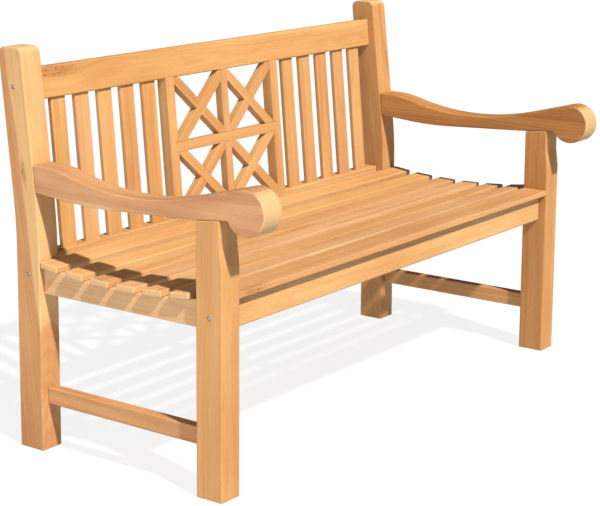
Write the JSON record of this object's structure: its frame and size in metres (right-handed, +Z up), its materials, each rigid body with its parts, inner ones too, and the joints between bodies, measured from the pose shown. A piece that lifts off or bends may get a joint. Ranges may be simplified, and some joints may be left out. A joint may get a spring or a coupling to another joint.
{
  "type": "garden bench",
  "caption": "Teak garden bench with scroll arms, a hollowed slatted seat and a slatted back with a lattice panel in its middle.",
  "frame": {"origin": "on the ground, under the middle of the bench's bounding box", "axes": "+X along the bench to the right as seen from the front, the front faces -Y, +Z up"},
  "size_m": [1.5, 0.7552, 0.941],
  "materials": {
    "teak": "planed and sanded, untreated",
    "bolt_steel": "zinc plated, dull"
  },
  "bodies": {
    "root": {"armrest_left": "teak", "armrest_right": "teak", "back_bottom_rail": "teak", "back_slat_left_1": "teak", "back_slat_left_2": "teak", "back_slat_left_3": "teak", "back_slat_left_4": "teak", "back_slat_left_5": "teak", "back_slat_right_1": "teak", "back_slat_right_2": "teak", "back_slat_right_3": "teak", "back_slat_right_4": "teak", "back_slat_right_5": "teak", "back_top_rail": "teak", "barrel_nut_bottom_left": "bolt_steel", "barrel_nut_bottom_right": "bolt_steel", "barrel_nut_front_left": "bolt_steel", "barrel_nut_front_right": "bolt_steel", "barrel_nut_top_left": "bolt_steel", "barrel_nut_top_right": "bolt_steel", "bolt_bottom_left": "bolt_steel", "bolt_bottom_right": "bolt_steel", "bolt_front_left": "bolt_steel", "bolt_front_right": "bolt_steel", "bolt_top_left": "bolt_steel", "bolt_top_right": "bolt_steel", "front_leg_left": "teak", "front_leg_right": "teak", "front_seat_rail": "teak", "front_slat": "teak", "lattice_crossbar": "teak", "lattice_diagonal_lower_left": "teak", "lattice_diagonal_lower_right": "teak", "lattice_diagonal_upper_left": "teak", "lattice_diagonal_upper_right": "teak", "lattice_diamond_lower_left": "teak", "lattice_diamond_lower_right": "teak", "lattice_diamond_upper_left": "teak", "lattice_diamond_upper_right": "teak", "lattice_stile_left": "teak", "lattice_stile_right": "teak", "lattice_upright": "teak", "rear_leg_left": "teak", "rear_leg_right": "teak", "seat_centre_bearer": "teak", "seat_slat_1": "teak", "seat_slat_2": "teak", "seat_slat_3": "teak", "seat_slat_4": "teak", "seat_slat_5": "teak", "seat_slat_6": "teak", "side_seat_rail_left": "teak", "side_seat_rail_right": "teak", "side_stretcher_left": "teak", "side_stretcher_right": "teak"}
  },
  "joints": []
}
